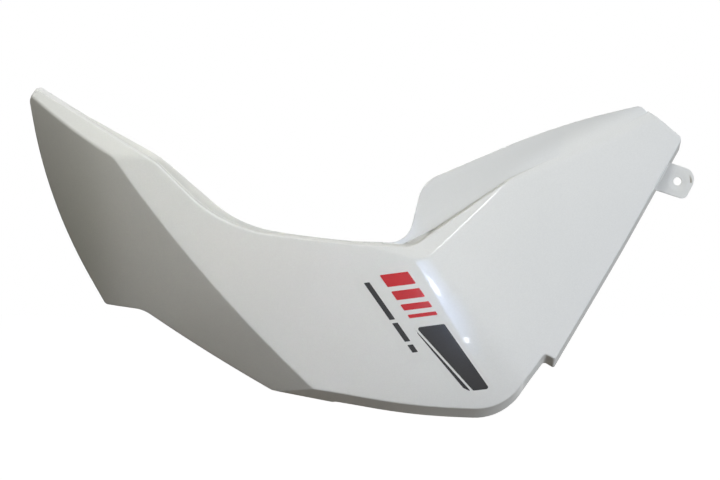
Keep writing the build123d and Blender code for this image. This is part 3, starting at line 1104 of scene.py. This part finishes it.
@dataclass(frozen=True)
class Reflector:
    """Bent strip that glows, a painted reflection that shows in the fold's lacquer: crisp along its left edge,
    fading to the right.

    Each row has its level and its points along X and Z, in metres; the columns share each row's level out.
    """

    name: str = "bent_reflector"
    depth: float = -0.4
    tone: str = "#bcd3ff"
    strength: float = 9.2
    columns: tuple[float, ...] = (1.25, 0.8, 0.42, 0.0)
    rows: tuple[tuple[float, tuple[Pair, ...]], ...] = (
        (0.0, ((-0.157, -0.045), (-0.112, -0.02), (-0.066, 0.007), (-0.05, 0.016))),
        (0.65, ((-0.155, -0.062), (-0.113, -0.037), (-0.07, -0.01), (-0.052, 0.001))),
        (0.9, ((-0.149, -0.093), (-0.113, -0.071), (-0.073, -0.047), (-0.048, -0.032))),
        (1.0, ((-0.138, -0.113), (-0.12, -0.106), (-0.08, -0.082), (-0.045, -0.061))),
        (0.95, ((-0.126, -0.133), (-0.116, -0.133), (-0.082, -0.113), (-0.008, -0.07))),
        (0.75, ((-0.112, -0.155), (-0.102, -0.154), (-0.08, -0.146), (-0.021, -0.111))),
        (0.55, ((-0.099, -0.177), (-0.09, -0.177), (-0.081, -0.177), (-0.047, -0.16))),
        (0.25, ((-0.085, -0.199), (-0.077, -0.199), (-0.07, -0.199), (-0.06, -0.199))),
        (0.0, ((-0.074, -0.217), (-0.068, -0.217), (-0.062, -0.217), (-0.055, -0.217))),
    )

    def build(self) -> None:
        """Hang the strip before the panel, with its glow laid down point by point."""
        points = [(x, self.depth, z) for _, row in self.rows for x, z in row]
        glow = [level * share for level, _ in self.rows for share in self.columns]
        wide = len(self.columns)
        faces = [(first, first + 1, first + wide + 1, first + wide)
                 for first in range(len(points) - wide) if first % wide < wide - 1]
        strip = new_object(self.name, points, faces)
        strip.data.attributes.new("glow", "FLOAT", "POINT").data.foreach_set("value", glow)
        strip.visible_camera = strip.visible_diffuse = strip.visible_shadow = False
        material, tree, output = new_material(self.name)
        share = add_node(tree, "ShaderNodeAttribute", {"attribute_name": "glow"})
        bright = [part * self.strength for part in linear(self.tone)]
        tone = add_node(tree, "ShaderNodeMix", COLOURS | {"clamp_factor": False, FIRST: WHITE, SECOND: bright},
                        {SHARE: share.outputs["Fac"]})
        light = add_node(tree, "ShaderNodeEmission", {"Strength": 1.0}, {"Color": tone.outputs[MIXED]})
        tree.links.new(light.outputs[0], output.inputs["Surface"])
        strip.data.materials.append(material)


@dataclass
class Studio:
    """Camera, lamps, floor and background, in metres."""

    camera_place: Triple = (-0.245856, -1.859401, -0.045505)
    lens: float = 120.0
    sensor: float = 36.0
    ambient: str = "#1c1912"
    floor_middle: Triple = (-0.2, -0.03, -0.3)
    floor_reach: float = 6.0
    floor_fade: Pair = (0.2, 0.65)
    floor_tone: str = "#c6c5c2"
    floor_mirrored: str = "#77726a"
    floor_paper: str = "#8e8c86"
    floor_bounce: str = "#665a46"
    lamps: tuple[Lamp, ...] = (
        Lamp("key", (-0.45, -0.45, 0.55), (0.45, 0.3), 3.15, "#fffdf4", mirrored=False),
        Lamp("side", (2.25, -1.96, -0.14), (1.0, 1.0), 100.0, "#f0f5ff", mirrored=False),
        Lamp("front_snoot", (-0.35, -1.9, 0.45), (0.05, 0.05), 0.0044, "#ffffd7",
             (-0.387, -0.05, -0.0215), 6.8, False),
        Lamp("main_snoot", (-0.27, -1.9, 0.45), (0.05, 0.05), 0.0072, "#fff1d9",
             (-0.255, -0.05, -0.108), 9.6, False),
        Lamp("back", (-0.2, 1.8, 0.0), (0.3, 0.3), 0.9, "#ffffff", (-0.24, 0.0, -0.05), 26.0, False),
        Lamp("fold_glint", (-0.131, -0.39, -0.1), (0.022, 0.034), 0.021, "#ffffff", (-0.19, -0.05, -0.08)),
        Lamp("low_glint", (-0.0905, -0.39, -0.1822), (0.009, 0.009), 0.003, "#ffffff", (-0.166, -0.05, -0.12)),
        Lamp("ridge_glint", (0.534, -1.685, 0.605), (0.26, 0.1), 1.6, "#ffffff"),
    )
    cards: tuple[Card, ...] = (
        Card("brown_flag", (-0.65, 0.15, -0.04), (0.0, 0.15, -0.04), (0.56, 0.6), "#382f1f", 0.7),
        Card("grey_flag", (0.149, 0.368, -0.169), (-0.047, -0.02, -0.053), (0.6, 0.5), "#a0a09c", 0.75),
    )
    reflector: Reflector = Reflector()

    def build(self) -> None:
        """Set the studio up."""
        bpy.context.scene.view_settings.view_transform = "Standard"
        self.set_camera()
        self.set_world()
        self.add_floor()
        for piece in (*self.lamps, *self.cards, self.reflector):
            piece.build()

    def set_camera(self) -> None:
        """Look square at the panel from as far as the photograph was taken."""
        lens = bpy.data.cameras.new("camera")
        lens.lens = self.lens
        lens.sensor_width = self.sensor
        camera = bpy.data.objects.new("camera", lens)
        camera.location = self.camera_place
        camera.rotation_euler = (math.pi / 2, 0.0, 0.0)
        bpy.context.scene.collection.objects.link(camera)
        bpy.context.scene.camera = camera

    def seen(self, tree: Tree) -> Socket:
        """Tell rays that show the background, straight, mirrored or through glass, from rays of light.

        Args:
            tree: the node tree.

        Returns:
            One for rays that show the background and nought for the others.
        """
        rays = add_node(tree, "ShaderNodeLightPath")
        direct = add_node(tree, "ShaderNodeMath", {"operation": "MAXIMUM"},
                          {0: rays.outputs["Is Camera Ray"], 1: rays.outputs["Is Glossy Ray"]})
        return add_node(tree, "ShaderNodeMath", {"operation": "MAXIMUM"},
                        {0: direct.outputs[0], 1: rays.outputs["Is Transmission Ray"]}).outputs[0]

    def set_world(self) -> None:
        """Make the world white where it is seen, and a dim warm room as light."""
        world = bpy.data.worlds.new("studio")
        bpy.context.scene.world = world
        world.use_nodes = True
        tree = world.node_tree
        tree.nodes.clear()
        room, white = (add_node(tree, "ShaderNodeBackground", {"Color": colour, "Strength": 1.0})
                       for colour in (linear(self.ambient), WHITE))
        both = add_node(tree, "ShaderNodeMixShader", None,
                        {0: self.seen(tree), 1: room.outputs[0], 2: white.outputs[0]})
        add_node(tree, "ShaderNodeOutputWorld", None, {"Surface": both.outputs[0]})

    def add_floor(self) -> None:
        """Lay a pale floor below the panel: white from afar, with room near the panel for its shadow."""
        floor = new_object("floor", [[part * self.floor_reach for part in corner] for corner in SQUARE],
                           [(0, 1, 2, 3)])
        floor.location = self.floor_middle
        material, tree, output = new_material("pale_floor")
        place = add_node(tree, "ShaderNodeTexCoord").outputs["Object"]
        away = add_node(tree, "ShaderNodeVectorMath", {"operation": "LENGTH"}, {0: place})
        afar = add_node(tree, "ShaderNodeMapRange", SMOOTH | {
            "From Min": self.floor_fade[0], "From Max": self.floor_fade[1]}, {"Value": away.outputs["Value"]})
        straight = add_node(tree, "ShaderNodeLightPath").outputs["Is Camera Ray"]
        near = add_node(tree, "ShaderNodeMix", COLOURS | {
            FIRST: linear(self.floor_mirrored), SECOND: linear(self.floor_tone)}, {SHARE: straight})
        tone = add_node(tree, "ShaderNodeMix", COLOURS | {SECOND: WHITE},
                        {SHARE: afar.outputs[0], FIRST: near.outputs[MIXED]})
        light = add_node(tree, "ShaderNodeEmission", {"Strength": 1.0}, {"Color": tone.outputs[MIXED]})
        paper, bounce = (add_node(tree, "ShaderNodeBsdfDiffuse", {"Color": linear(colour)})
                         for colour in (self.floor_paper, self.floor_bounce))
        shown = add_node(tree, "ShaderNodeAddShader", None, {0: light.outputs[0], 1: paper.outputs[0]})
        both = add_node(tree, "ShaderNodeMixShader", None,
                        {0: self.seen(tree), 1: bounce.outputs[0], 2: shown.outputs[0]})
        tree.links.new(both.outputs[0], output.inputs["Surface"])
        floor.data.materials.append(material)


def main() -> None:
    """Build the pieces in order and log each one."""
    logging.basicConfig(level=logging.INFO, format="%(message)s")
    shell = FairingPanel()
    panel = shell.build()
    shell.dress(panel)
    for piece in (panel, *StripeFilm().build()):
        LOG.info("%s: %d points, %d faces", piece.name, len(piece.data.vertices), len(piece.data.polygons))
    Studio().build()


if __name__ == "__main__":
    main()
